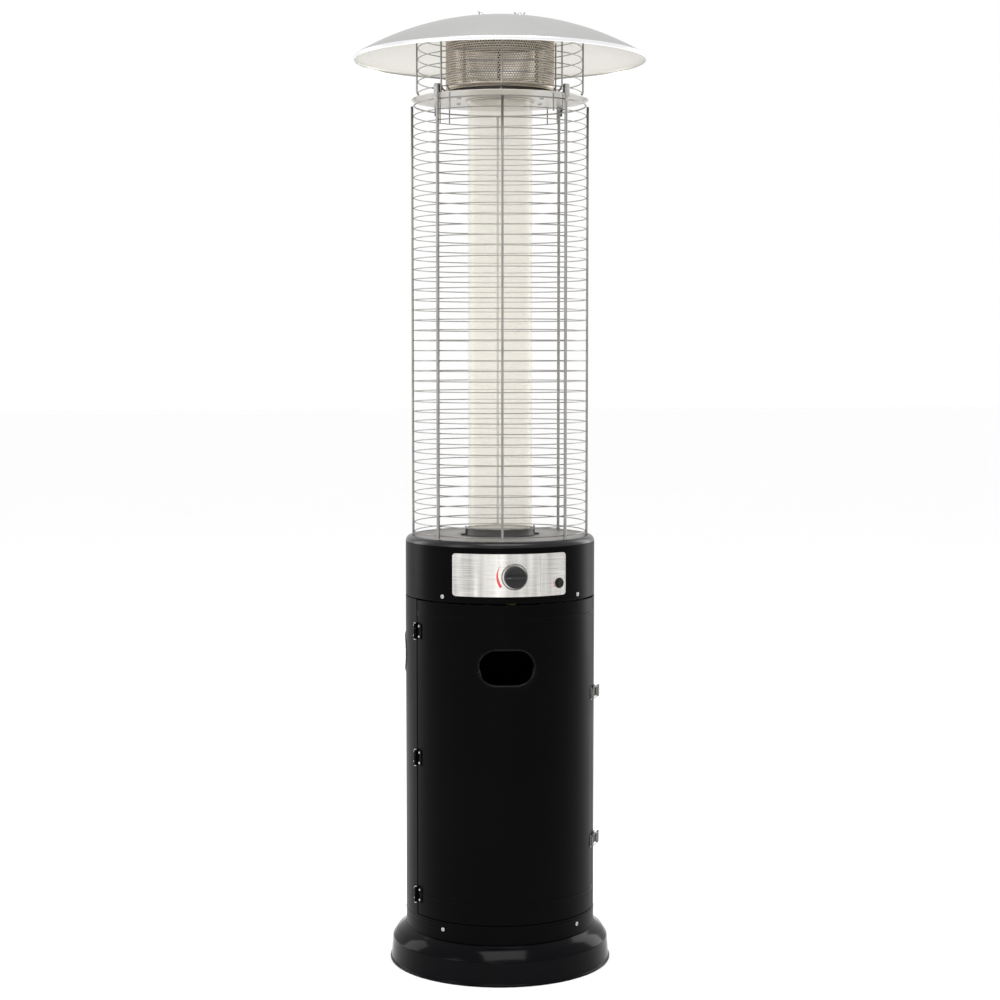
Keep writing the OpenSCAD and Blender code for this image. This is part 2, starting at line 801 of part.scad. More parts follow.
base_cover();
base_plate();
lower_band();
rear_shell();
door();
housing_screws();
hinge_body_leaves();
hinge_door_leaves();
hinge_body_rivets();
hinge_door_rivets();
latch_bases();
pivot_pins();
latch_lever_lower();
latch_lever_upper();
latch_bail_lower();
latch_bail_upper();
latch_keepers();
housing_floor();
control_housing();
control_panel();
knob_bezel();
knob();
valve_stem();
stem_collar();
gas_valve();
gas_inlet();
gas_pipe();
injector();
mixer_tube();
burner_body();
burner_mesh();
pilot_burner();
flame_sensor();
igniter_bezel();
igniter_body();
igniter_button();
tilt_switch();
top_deck();
tube_seat();
tube_gasket();
tube_clips();
glass_tube();
support_posts();
guard_panel(0);  // guard_panel_1
guard_panel(1);  // guard_panel_2
guard_panel(2);  // guard_panel_3
guard_panel(3);  // guard_panel_4
post_brackets();
head_disc();
tube_collar();
head_spacers();
emitter_screen();
emitter_plates();
hood_studs();
head_guard(0);  // head_guard_1
head_guard(1);  // head_guard_2
head_guard(2);  // head_guard_3
head_guard(3);  // head_guard_4
hood();
wing_nuts();
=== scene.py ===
import json
import math

import bmesh
import bpy
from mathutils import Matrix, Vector


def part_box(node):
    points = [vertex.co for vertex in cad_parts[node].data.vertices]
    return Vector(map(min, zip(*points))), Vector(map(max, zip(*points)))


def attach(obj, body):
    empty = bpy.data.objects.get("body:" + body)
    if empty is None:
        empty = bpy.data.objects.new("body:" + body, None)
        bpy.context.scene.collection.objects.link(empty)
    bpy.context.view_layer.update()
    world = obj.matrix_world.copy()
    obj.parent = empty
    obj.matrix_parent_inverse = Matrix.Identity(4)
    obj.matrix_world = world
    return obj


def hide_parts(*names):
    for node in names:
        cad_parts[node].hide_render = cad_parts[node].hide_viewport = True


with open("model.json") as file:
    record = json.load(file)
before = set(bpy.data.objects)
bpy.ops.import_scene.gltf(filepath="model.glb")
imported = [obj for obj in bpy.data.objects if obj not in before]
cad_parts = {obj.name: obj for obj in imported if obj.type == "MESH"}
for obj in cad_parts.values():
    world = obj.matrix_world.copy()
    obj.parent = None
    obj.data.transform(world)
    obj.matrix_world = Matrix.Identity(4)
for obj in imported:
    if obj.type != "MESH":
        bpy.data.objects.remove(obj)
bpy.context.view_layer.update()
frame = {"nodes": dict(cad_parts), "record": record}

MM = 0.001

# ---- sizes, in millimetres, most of them read from the frame --------------------------------


def low(node):
    return [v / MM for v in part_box(node)[0]]


def high(node):
    return [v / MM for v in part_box(node)[1]]


# Names ending in _A are angles in degrees from the front, counted towards +X.
BODY_R = high("top_deck")[0] + 16
SHEET = 1.2  # thickness of the steel sheet
BEAD = 0.6  # height of the pressed beads
CAGE_TURN = -7  # angle of the first guard rod
BASE_R = high("base_cover")[0]
BASE_H = high("base_cover")[2]
BAND_TOP = high("lower_band")[2]
DOOR_Z = (low("door")[2], high("door")[2])
SHELL_Z = (low("rear_shell")[2], high("rear_shell")[2])
DOOR_HALF = 67.5  # half of the door's width, in degrees
LATCH_GAP, HINGE_GAP = 0.7, 1.1  # gaps beside the door, in degrees
DOOR_BEADS = (DOOR_Z[0] + 40, DOOR_Z[1] - 25)
DOOR_HOLE_A, SIDE_HOLE_A = -4.5, 106
DOOR_HOLE_Z, SIDE_HOLE_Z = 604, 610
HOLE_W, HOLE_H = 104, 63
RIM_CREST, RIM_FOOT = 3, 11  # where the pressed rim is highest, and where it ends
RIM_HEIGHT = 2.0
# Within RIM_SHINE of a hole's edge the coat is swapped for a glossier copy: a painted highlight
# along the real pressed rim.
RIM_SHINE = 5  # the coat is glossier within this distance of a hole's edge
EDGE_DEPTH = 13  # how far the shells' edges are returned inwards
HINGE_A, HINGE_ZS = -68, (148, 417, 663)
SCREW_AS = (-44.5, 44.5, 135.5, 224.5)
HEAD_Z = low("control_housing")[2]
DECK_Z = high("control_housing")[2]
PANEL_Z = (low("control_panel")[2], high("control_panel")[2])
PANEL_R = -low("control_panel")[1]
PANEL_SHEET = 1.2
KNOB_Z = (low("knob")[2] + high("knob")[2]) / 2
KNOB_R = high("knob")[0]
KNOB_BACK, KNOB_FACE = -high("knob")[1], -low("knob")[1]
BUTTON_A, BUTTON_Z = 28.5, (low("igniter_button")[2] + high("igniter_button")[2]) / 2
GLASS_R = high("glass_tube")[0]
GLASS_Z = (low("glass_tube")[2], high("glass_tube")[2])
HOOD_R = high("hood")[0]
RIM_Z, APEX_Z = low("hood")[2], high("hood")[2]
DOME_R = 556  # radius of the sphere that the hood is part of
WING_NUT_RING = 43
DISC_Z = low("head_disc")[2]
DISC_R = high("head_disc")[0]
EMITTER_R = high("emitter_screen")[0]
EMITTER_Z = (low("emitter_screen")[2], high("emitter_screen")[2])
BORE_R = 56  # hole under the glass tube
RING_R, RING_WIRE = 166.95, 1.0
ROD_RING, ROD_R = 170.3, 2.5
ROD_TOP = 1672
POST_RING, POST_R = 171.2, 3.0
POST_TURN = CAGE_TURN + 45
RING_ZS = [849] + [867 + i * (1674 - 867) / 41 for i in range(42)]
THICK_RING_Z = 1673  # the rings from here up are of thicker wire
STRAP_TOP = 1701.3
SPACER_RING = 92
HEAD_RING_R, HEAD_ROD_R = 161, 1.6
HEAD_GUARD_TOP = 1811.5
HEAD_RING_ZS = [1698 + 21.5 * i for i in range(6)]
FRAME_BODY, DOOR_BODY = "frame_body", "door_body"
UP = (0, 0, 1)


def polar(angle, radius, z=0.0):
    """Point at an angle from the front, counted towards +X."""
    a = math.radians(angle)
    return (radius * math.sin(a), -radius * math.cos(a), z)


# ---- camera and light -----------------------------------------------------------------------

VIEW_ANGLE = -8.5
VIEW_DISTANCE, VIEW_HEIGHT, VIEW_DOWN = 4000, 1195, 4.09
VIEW_LENS = 73.4755


def make_camera():
    data = bpy.data.cameras.new("camera")
    data.lens, data.sensor_width = VIEW_LENS, 36
    data.clip_end = 50
    camera = bpy.data.objects.new("camera", data)
    camera.location = Vector(polar(VIEW_ANGLE, VIEW_DISTANCE, VIEW_HEIGHT)) * MM
    camera.rotation_euler = (math.radians(90 - VIEW_DOWN), 0, math.radians(VIEW_ANGLE))
    bpy.context.collection.objects.link(camera)
    bpy.context.scene.camera = camera


def area_light(name, place, target, size, watts):
    data = bpy.data.lights.new(name, "AREA")
    data.shape, data.size, data.size_y, data.energy = "RECTANGLE", size[0], size[1], watts
    light = bpy.data.objects.new(name, data)
    light.location = place
    light.rotation_euler = (Vector(target) - Vector(place)).to_track_quat("-Z", "Y").to_euler()
    bpy.context.collection.objects.link(light)


def make_studio():
    world = bpy.data.worlds.new("studio")
    world.use_nodes = True
    background = world.node_tree.nodes["Background"]
    background.inputs["Color"].default_value = (1, 1, 1, 1)
    background.inputs["Strength"].default_value = 1.0
    bpy.context.scene.world = world
    bpy.context.scene.view_settings.view_transform = "Standard"
    area_light("key_left", (-3.2, -1.6, 2.6), (0, 0, 1.0), (1.2, 2.6), 34)
    area_light("rim_left", (-2.6, 1.8, 1.4), (0, 0, 0.7), (1.0, 2.6), 26)
    area_light("rim_right", (2.6, 1.6, 1.4), (0, 0, 0.7), (1.0, 2.6), 28)
    area_light("top", (0.0, -1.3, 4.2), (0, 0, 1.0), (2.4, 1.7), 74)
    area_light("low_front", (-0.9, -3.8, 1.2), (0, 0, 1.1), (0.9, 1.4), 8)


make_camera()
make_studio()

# ---- materials ------------------------------------------------------------------------------


def surface(name, color, vary, rough, metallic=0.0, grain=300, stretch=(1, 1, 1), bump=0.1,
            patch=6.0, bands=(1, 1, 1), coat=0.0, specular=0.5, depth=0.0004):
    """Principled material: cloudy colour between two tones, fine grain in roughness and bump."""
    mat = bpy.data.materials.new(name)
    mat.use_nodes = True
    nodes, links = mat.node_tree.nodes, mat.node_tree.links
    shader = nodes["Principled BSDF"]
    shader.inputs["Metallic"].default_value = metallic
    shader.inputs["Specular IOR Level"].default_value = specular
    shader.inputs["Coat Weight"].default_value = coat
    shader.inputs["Coat Roughness"].default_value = 0.08
    place = nodes.new("ShaderNodeTexCoord")
    mapping = nodes.new("ShaderNodeMapping")
    mapping.inputs["Scale"].default_value = stretch
    links.new(place.outputs["Object"], mapping.inputs["Vector"])
    cloud = nodes.new("ShaderNodeTexNoise")
    cloud.inputs["Scale"].default_value = patch
    cloud.inputs["Detail"].default_value = 5
    wide = nodes.new("ShaderNodeMapping")
    wide.inputs["Scale"].default_value = bands
    links.new(place.outputs["Object"], wide.inputs["Vector"])
    links.new(wide.outputs["Vector"], cloud.inputs["Vector"])
    fine = nodes.new("ShaderNodeTexNoise")
    fine.inputs["Scale"].default_value = grain
    fine.inputs["Detail"].default_value = 3
    links.new(mapping.outputs["Vector"], fine.inputs["Vector"])
    both = nodes.new("ShaderNodeMath")
    both.operation = "MULTIPLY_ADD"
    both.inputs[1].default_value = 0.45
    links.new(fine.outputs["Fac"], both.inputs[0])
    half = nodes.new("ShaderNodeMath")
    half.operation = "MULTIPLY"
    half.inputs[1].default_value = 0.55
    links.new(cloud.outputs["Fac"], half.inputs[0])
    links.new(half.outputs[0], both.inputs[2])
    ramp = nodes.new("ShaderNodeValToRGB")
    ramp.color_ramp.elements[0].position, ramp.color_ramp.elements[1].position = 0.3, 0.7
    ramp.color_ramp.elements[0].color = (*[c * (1 - vary) for c in color], 1)
    ramp.color_ramp.elements[1].color = (*[min(1, c * (1 + vary)) for c in color], 1)
    links.new(both.outputs[0], ramp.inputs["Fac"])
    links.new(ramp.outputs["Color"], shader.inputs["Base Color"])
    spread = nodes.new("ShaderNodeMapRange")
    spread.inputs["From Min"].default_value, spread.inputs["From Max"].default_value = 0.3, 0.7
    spread.inputs["To Min"].default_value, spread.inputs["To Max"].default_value = rough
    links.new(both.outputs[0], spread.inputs["Value"])
    links.new(spread.outputs["Result"], shader.inputs["Roughness"])
    relief = nodes.new("ShaderNodeBump")
    relief.inputs["Strength"].default_value = bump
    relief.inputs["Distance"].default_value = depth
    links.new(fine.outputs["Fac"], relief.inputs["Height"])
    links.new(relief.outputs["Normal"], shader.inputs["Normal"])
    return mat


def glass_material():
    """Warm, milky glass: part clear, part cream, with a clean gloss."""
    mat = surface("flame_glass", (0.79, 0.775, 0.725), 0.03, (0.12, 0.2), grain=40, bump=0.02,
                  patch=3)
    nodes, links = mat.node_tree.nodes, mat.node_tree.links
    shader, out = nodes["Principled BSDF"], nodes["Material Output"]
    clear = nodes.new("ShaderNodeBsdfTransparent")
    clear.inputs["Color"].default_value = (0.965, 0.959, 0.941, 1)
    mix = nodes.new("ShaderNodeMixShader")
    mix.inputs["Fac"].default_value = 0.2
    links.new(clear.outputs["BSDF"], mix.inputs[1])
    links.new(shader.outputs["BSDF"], mix.inputs[2])
    links.new(mix.outputs["Shader"], out.inputs["Surface"])
    return mat


MATERIALS = {
    "coat": surface("black_powder_coat", (0.001, 0.001, 0.0011), 0.3, (0.3, 0.4), grain=900,
                    bump=0.25, specular=0.03, depth=0.0002),
    # A glossier, slightly lighter copy of the black coat for the housing's round shoulder: a
    # painted highlight band.
    "edge": surface("shoulder_painted_highlight_coat", (0.002, 0.002, 0.0022), 0.3, (0.22, 0.34), grain=900,
                    bump=0.12, specular=0.3, depth=0.0002),
    # Glossier copy of the black coat for the hand holes' pressed rims: a painted highlight line.
    "rim": surface("pressed_rim_highlight_coat", (0.001, 0.001, 0.0011), 0.3, (0.26, 0.36), grain=900,
                   bump=0.2, specular=0.11, depth=0.0002),
    "gloss": surface("gloss_black_paint", (0.0006, 0.0006, 0.0012), 0.3, (0.1, 0.18), grain=500,
                     bump=0.04, specular=0.05, coat=0.03),
    "zinc": surface("bright_zinc", (0.46, 0.455, 0.44), 0.15, (0.22, 0.38), 1.0, 700, bump=0.12,
                    patch=40),
    "dark": surface("dark_steel", (0.06, 0.058, 0.055), 0.3, (0.4, 0.6), 0.6, 600, bump=0.15,
                    patch=20),
    # The panel's colour swings widely in tall vertical stripes (the cloud is stretched across x
    # by bands): painted reflection bands over the brushed grain.
    "panel": surface("brushed_panel_painted_reflection_bands", (0.6, 0.585, 0.56), 0.38, (0.22, 0.4), 1.0, 14,
                     stretch=(1.2, 1.2, 90), bump=0.18, patch=7, bands=(9, 1, 0.5)),
    "knob": surface("knob_plastic", (0.019, 0.019, 0.019), 0.15, (0.42, 0.55), grain=1500,
                    bump=0.2, specular=0.25),
    "plastic": surface("black_plastic", (0.006, 0.006, 0.006), 0.2, (0.35, 0.5), grain=1200,
                       bump=0.15, specular=0.2),
    "brass": surface("turned_brass", (0.62, 0.44, 0.16), 0.15, (0.25, 0.4), 1.0, 400, bump=0.1),
    "pipe": surface("dull_aluminium", (0.6, 0.6, 0.6), 0.12, (0.35, 0.5), 1.0, 500, bump=0.12),
    "burner": surface("heat_stained_steel", (0.38, 0.33, 0.27), 0.35, (0.3, 0.5), 1.0, 300,
                      bump=0.15, patch=25),
    "deck": surface("grey_deck_coat", (0.21, 0.20, 0.19), 0.1, (0.36, 0.5), 0.35, 700, bump=0.15),
    "gasket": surface("ceramic_fibre", (0.7, 0.68, 0.6), 0.15, (0.85, 0.95), grain=900, bump=0.6),
    "latch": surface("plated_latch", (0.15, 0.147, 0.14), 0.3, (0.28, 0.42), 1.0, 500, bump=0.12,
                     patch=60),
    "wire": surface("bright_wire", (0.27, 0.26, 0.245), 0.22, (0.26, 0.42), 1.0, 500, bump=0.1,
                    patch=30),
    "disc": surface("satin_disc", (0.56, 0.54, 0.50), 0.07, (0.3, 0.42), 1.0, 250, bump=0.08,
                    stretch=(1, 1, 4)),
    "emitter": surface("emitter_steel", (0.47, 0.41, 0.34), 0.35, (0.3, 0.5), 1.0, 200, bump=0.08,
                       patch=18),
    "hood_out": surface("satin_hood", (0.36, 0.36, 0.352), 0.05, (0.46, 0.56), 0.7, 260,
                        bump=0.08, patch=5),
    "hood_in": surface("hood_inside", (0.68, 0.665, 0.62), 0.06, (0.3, 0.45), 0.55, 200,
                       bump=0.06, patch=6),
    # The skirt and rolled rim get a much paler, glossier copy of the hood's metal: a painted
    # highlight band.
    "hood_rim": surface("hood_rim_painted_highlight", (0.86, 0.87, 0.88), 0.04, (0.14, 0.24), 1.0, 300,
                        bump=0.04, patch=5),
    "red": surface("red_mark", (0.58, 0.045, 0.045), 0.12, (0.45, 0.6), grain=900, bump=0.05),
    "ink": surface("grey_mark", (0.10, 0.10, 0.105), 0.15, (0.5, 0.6), grain=900, bump=0.05),
    "glass": glass_material(),
}

# ---- mesh building --------------------------------------------------------------------------


class Build:
    """Collects faces in millimetres and makes one smooth-shaded piece of them."""

    def __init__(self):
        self.points, self.faces, self.kinds = [], [], []

    def grid(self, rows, closed=False, wrap=False, kind=0):
        """Joins rows of points; closed joins each row's ends, wrap the last row to the first."""
        start, count = len(self.points), len(rows[0])
        for row in rows:
            self.points.extend(row)
        for i in range(len(rows) if wrap else len(rows) - 1):
            a = start + i * count
            b = start + (i + 1) % len(rows) * count
            for j in range(count if closed else count - 1):
                k = (j + 1) % count
                self.faces.append((a + j, a + k, b + k, b + j))
                self.kinds.append(kind)

    def cap(self, ring, kind=0):
        """One face over a ring of points."""
        start = len(self.points)
        self.points.extend(ring)
        self.faces.append(tuple(range(start, start + len(ring))))
        self.kinds.append(kind)

    def lathe(self, outline, steps=192, kind=0, open_outline=False, centre=(0, 0), ends=(0, 360)):
        """Turns (radius, z) points round a vertical axis."""
        whole = ends[1] - ends[0] >= 360
        count = steps if whole else steps + 1
        rows = []
        for r, z in outline:
            row = []
            for i in range(count):
                x, y, _ = polar(ends[0] + (ends[1] - ends[0]) * i / steps, r)
                row.append((x + centre[0], y + centre[1], z))
            rows.append(row)
        self.grid(rows, closed=whole, wrap=not open_outline, kind=kind)

    def tube(self, path, radius, sides=10, closed=False, kind=0):
        """Round wire along a path, with caps where it ends."""
        path = [Vector(p) for p in path]
        rows, count = [], len(path)
        side = None
        for i, p in enumerate(path):
            before = path[(i - 1) % count] if closed or i else p
            after = path[(i + 1) % count] if closed or i < count - 1 else p
            along = (after - before).normalized()
            if side is None:
                side = along.orthogonal().normalized()
                if abs(along.z) < 0.5:
                    side = along.cross(Vector((0, 0, 1))).normalized()
            side = (side - along * side.dot(along)).normalized()
            up = along.cross(side)
            rows.append([tuple(p + radius * (math.cos(t) * side + math.sin(t) * up))
                         for t in (2 * math.pi * k / sides for k in range(sides))])
        self.grid(rows, closed=True, wrap=closed, kind=kind)
        if not closed:
            self.cap(rows[0][::-1], kind)
            self.cap(rows[-1], kind)

    def turned(self, outline, place, axis, steps=48, kind=0):
        """Turns (radius, height) points round any axis; the ends are closed on the axis."""
        axis = Vector(axis).normalized()
        side = axis.orthogonal().normalized()
        up = axis.cross(side)
        rows = [[tuple(Vector(place) + axis * h + r * (math.cos(t) * side + math.sin(t) * up))
                 for t in (2 * math.pi * k / steps for k in range(steps))] for r, h in outline]
        self.grid(rows, closed=True, kind=kind)
        self.cap(rows[0][::-1], kind)
        self.cap(rows[-1], kind)

    def piece(self, name, body, materials, slot=None, nodes=(), sharp=32):
        """Makes the mesh object, and says its body and the CAD nodes it replaces; slot is not
        used.
        """
        mesh = bpy.data.meshes.new(name)
        mesh.from_pydata([Vector(p) * MM for p in self.points], [], self.faces)
        mesh.polygons.foreach_set("material_index", self.kinds)
        for m in materials:
            mesh.materials.append(MATERIALS[m])
        work = bmesh.new()
        work.from_mesh(mesh)
        bmesh.ops.remove_doubles(work, verts=work.verts, dist=0.00001)
        bmesh.ops.recalc_face_normals(work, faces=work.faces)
        for face in work.faces:
            face.smooth = True
        for edge in work.edges:
            edge.smooth = edge.calc_face_angle(0) < math.radians(sharp)
        work.to_mesh(mesh)
        work.free()
        made = bpy.data.objects.new(name, mesh)
        bpy.context.collection.objects.link(made)
        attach(made, body)
        if nodes:
            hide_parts(*nodes)
        return made


def arc(centre, radius, a0, a1, steps):
    """Points of an arc in a (radius, z) outline, by angle from +radius towards +z."""
    return [(centre[0] + radius * math.cos(math.radians(a0 + (a1 - a0) * i / steps)),
             centre[1] + radius * math.sin(math.radians(a0 + (a1 - a0) * i / steps)))
            for i in range(steps + 1)]


def shell_of(outline, wall):
    """Closes an outline of (radius, z) points with a copy of itself moved inwards by the wall."""
    inner = []
    for i, (r, z) in enumerate(outline):
        a, b = outline[max(i - 1, 0)], outline[min(i + 1, len(outline) - 1)]
        d = Vector((b[0] - a[0], b[1] - a[1])).normalized()
        inner.append((r - d.y * wall, z + d.x * wall))
    return outline + inner[::-1]


# ---- base and lower band --------------------------------------------------------------------


def make_base():
    slope_r = BODY_R + 1.5
    outline = [(BASE_R - 14, 0), (BASE_R - 2, 0)]
    outline += arc((BASE_R - 2.2, 2.2), 2.2, -80, 80, 8)
    outline += [(BASE_R - 2.6, 5.2), (BASE_R - 2.9, 7)]
    outline += [(BASE_R - 2.9 - 2.6 * t / 4, 7 + 36 * t / 4) for t in range(1, 5)]
    outline += arc((BASE_R - 11.5, 43.5), 6, 5, 48, 6)
    outline += [(slope_r + 16, 59.5), (slope_r + 6, 66)]
    outline += [(slope_r + 1.5, BASE_H - 2.4), (slope_r - 1, BASE_H - 0.4), (slope_r - 4, BASE_H)]
    outline += [(BODY_R - 20, BASE_H)]
    outline += [(BODY_R - 20, BASE_H - 1.5), (slope_r - 5, BASE_H - 1.5),
                (BASE_R - 10, 44), (BASE_R - 4.5, 7), (BASE_R - 3.5, 1.5), (BASE_R - 14, 1.5)]
    build = Build()
    build.lathe(outline, 240)
    build.piece("base_cover_skin", FRAME_BODY, ["gloss"], "gloss_black", ["base_cover"], sharp=40)


def ridge(z, middle, height=BEAD, width=3.0):
    """Height of a pressed bead at z."""
    return height * math.exp(-((z - middle) / width * 2) ** 2)


def make_band():
    z0 = BASE_H + 0.1
    zs = [z0 + (BAND_TOP - z0) * i / 48 for i in range(49)]
    outline = [(BODY_R + ridge(z, BASE_H + 30), z) for z in zs]
    build = Build()
    build.lathe(shell_of(outline, SHEET), 240)
    build.piece("lower_band_skin", FRAME_BODY, ["coat"], "black_coat", ["lower_band"], sharp=50)


# ---- pressed shells with hand holes ---------------------------------------------------------


def stadium_distance(u, v, w=HOLE_W, h=HOLE_H):
    """Distance of a point from the edge of a hand hole, negative inside, and its direction."""
    straight = (w - h) / 2
    du = u - max(-straight, min(straight, u))
    length = math.hypot(du, v) or 1e-6
    return length - h / 2, (du / length, v / length)


def rim_height(d):
    """Relief of the pressed rim at a distance d from the hole's edge."""
    if d > RIM_FOOT:
        return 0.0
    if d > RIM_CREST:
        t = (RIM_FOOT - d) / (RIM_FOOT - RIM_CREST)
        return RIM_HEIGHT * t * t * (3 - 2 * t)
    return RIM_HEIGHT - 2 * RIM_HEIGHT * (1 - max(d, 0) / RIM_CREST) ** 2


def lines_between(lo, hi, fine_spans, coarse, fine):
    """Grid lines from lo to hi, close together inside the fine spans."""
    lines, at = [lo], lo
    while at < hi - 1e-6:
        step = fine if any(a - coarse < at < b for a, b in fine_spans) else coarse
        at = min(at + step, hi)
        if hi - at < step / 2:
            at = hi
        lines.append(at)
    return lines


def thicken(made, wall):
    """Gives a sheet its wall, on the inner side."""
    solid = made.modifiers.new("wall", "SOLIDIFY")
    solid.thickness, solid.offset = wall * MM, -1


def pressed_shell(name, body, node, a0, a1, z0, z1, holes, hole_z, beads):
    """Curved sheet with returned edges, pressed beads and hand holes with raised rims."""
    per_degree = math.radians(1) * BODY_R
    reach = RIM_FOOT + 3
    reach_u, reach_v = (HOLE_W / 2 + reach) / per_degree, HOLE_H / 2 + reach
    angles = lines_between(a0, a1, [(h - reach_u, h + reach_u) for h in holes], 2.2, 0.7)
    spans = [(hole_z - reach_v, hole_z + reach_v)] + [(b - 4, b + 4) for b in beads]
    heights = lines_between(z0, z1, spans, 14, 1.6)
    index, build = {}, Build()
    for i, z in enumerate(heights):
        for j, a in enumerate(angles):
            d, way, v = math.inf, (0, 0), z - hole_z
            for h in holes:
                near = (a - h) * per_degree
                if abs(near) < HOLE_W:
                    d, way = stadium_distance(near, v)
            angle, height = a, z
            if -2.6 < d < 0.55:  # a point close to the hole's edge is moved onto it
                angle, height = a - way[0] * d / per_degree, z - way[1] * d
                d = 0.0
            relief = rim_height(d) + sum(ridge(height, b) for b in beads)
            index[i, j] = (len(build.points), d)
            build.points.append(polar(angle, BODY_R + relief, height))
    for i in range(len(heights) - 1):
        for j in range(len(angles) - 1):
            corners = [index[i, j], index[i, j + 1], index[i + 1, j + 1], index[i + 1, j]]
            if any(d < -1e-6 for _, d in corners):
                continue
            if sum(abs(d) < 1e-6 for _, d in corners) == 4:
                continue
            build.faces.append(tuple(n for n, _ in corners))
            # faces close to the hole's edge take the glossier coat copy, a painted highlight
            build.kinds.append(1 if max(d for _, d in corners) < RIM_SHINE else 0)
    for z in (z0, z1):  # returned edges at the bottom and the top, then at the sides
        build.grid([[polar(a, BODY_R - r, z) for a in angles] for r in (0, EDGE_DEPTH)])
    for a in (a0, a1):
        build.grid([[polar(a, BODY_R - r, z) for z in heights] for r in (0, EDGE_DEPTH)])
    thicken(build.piece(name, body, ["coat", "rim"], "black_coat", [node], sharp=45), SHEET)


def make_shells():
    pressed_shell("door_skin", DOOR_BODY, "door", -DOOR_HALF, DOOR_HALF, *DOOR_Z,
                  [DOOR_HOLE_A], DOOR_HOLE_Z, DOOR_BEADS)
    pressed_shell("rear_skin", FRAME_BODY, "rear_shell", DOOR_HALF + LATCH_GAP,
                  360 - DOOR_HALF - HINGE_GAP, *SHELL_Z, [SIDE_HOLE_A, 360 - SIDE_HOLE_A],
                  SIDE_HOLE_Z, [])


# ---- control head ---------------------------------------------------------------------------


def make_housing():
    r, round_r = BODY_R - 0.2, 12
    outline = [(r - 0.6, HEAD_Z), (r, HEAD_Z + 0.8)]
    outline += [(r, HEAD_Z + 2 + i * (DECK_Z - round_r - HEAD_Z - 2) / 4) for i in range(5)]
    outline += arc((r - round_r, DECK_Z - round_r), round_r, 6, 90, 12)
    outline += [(BODY_R - 18, DECK_Z), (BODY_R - 20.5, DECK_Z - 0.6)]
    build = Build()
    build.lathe(shell_of(outline, SHEET), 240)
    # Faces of the round shoulder take the glossier, lighter coat copy, a painted highlight band.
    for i, face in enumerate(build.faces):
        if all(build.points[n][2] > DECK_Z - round_r + 1 for n in face):  # the round shoulder
            build.kinds[i] = 1
    build.piece("control_housing_skin", FRAME_BODY, ["coat", "edge"], "black_coat",
                ["control_housing"], sharp=40)


def make_deck():
    r, z = BODY_R - 16.2, DECK_Z - 1.4
    outline = [(BORE_R, z), (GLASS_R + 22, z), (GLASS_R + 24, z + 0.8), (GLASS_R + 27, z + 0.8),
               (GLASS_R + 29, z), (r - 14, z), (r - 11, z + 0.7), (r - 5, z + 0.7), (r, z - 0.2),
               (r, z - 2), (BORE_R, z - 2)]
    build = Build()
    build.lathe(outline, 200)
    build.piece("deck_plate", FRAME_BODY, ["deck"], "deck_grey", ["top_deck"], sharp=30)
    seat = Build()
    z = low("tube_seat")[2]
    seat.lathe([(BORE_R, z), (GLASS_R + 6, z), (GLASS_R + 6, z + 1.6), (GLASS_R + 4.2, z + 2.2),
                (GLASS_R + 3, z + 4), (GLASS_R + 3, z + 14.2), (GLASS_R + 2.4, z + 15),
                (GLASS_R + 1.2, z + 15), (GLASS_R + 0.8, z + 14.4), (GLASS_R + 0.8, z + 7.2),
                (BORE_R, z + 7.2)], 160)
    seat.piece("tube_seat_ring", FRAME_BODY, ["dark"], "dark_steel", ["tube_seat"], sharp=35)


def panel_point(x, z, lift=0.0):
    """A point on the curved panel, from its place across and up, and how far it stands out."""
    r = PANEL_R + lift
    return (x, -math.sqrt(r * r - x * x), z)


def make_panel():
    x0, x1 = low("control_panel")[0], high("control_panel")[0]
    middle, half = (x0 + x1) / 2, (x1 - x0) / 2
    z0, z1 = PANEL_Z
    columns, levels, corner = 96, 12, 6
    build = Build()
    rows_front, rows_back = [], []
    for i in range(columns + 1):
        x = -half + 2 * half * (0.5 - 0.5 * math.cos(math.pi * i / columns))
        inset = max(0.0, abs(x) - (half - corner))
        cut = corner - math.sqrt(max(0.0, corner * corner - inset * inset))
        zs = [z0 + cut + (z1 - z0 - 2 * cut) * k / levels for k in range(levels + 1)]
        rows_front.append([panel_point(middle + x, z) for z in zs])
        rows_back.append([panel_point(middle + x, z, -PANEL_SHEET) for z in zs])
    build.grid(rows_front)
    build.grid(rows_back)
    for k in (0, levels):
        build.grid([[row[k] for row in rows_front], [row[k] for row in rows_back]])
    for i in (0, columns):
        build.grid([rows_front[i], rows_back[i]])
    build.piece("control_panel_plate", FRAME_BODY, ["panel"], "panel_steel", ["control_panel"],
                sharp=40)


def mark(build, centre, r0, r1, a0, a1, kind, steps=36, taper=True):
    """Curved stroke on the panel round a centre, thickest at its lower end."""
    rows = []
    for i in range(steps + 1):
        t = i / steps
        a = math.radians(a0 + (a1 - a0) * t)
        inner = r1 - (r1 - r0) * (min(1.0, 0.08 + 1.25 * t) if taper else 1.0)
        rows.append([panel_point(centre[0] + r * math.cos(a), centre[1] + r * math.sin(a), 0.12)
                     for r in (inner, r1)])
    build.grid(rows, kind=kind)


def line_mark(build, x0, z0, x1, z1, width, kind=1, steps=10):
    """Straight stroke on the panel."""
    along = Vector((x1 - x0, z1 - z0)).normalized() * width / 2
    rows = [[panel_point(x0 + (x1 - x0) * i / steps + s * along.y,
                         z0 + (z1 - z0) * i / steps - s * along.x, 0.1) for s in (-1, 1)]
            for i in range(steps + 1)]
    build.grid(rows, kind=kind)


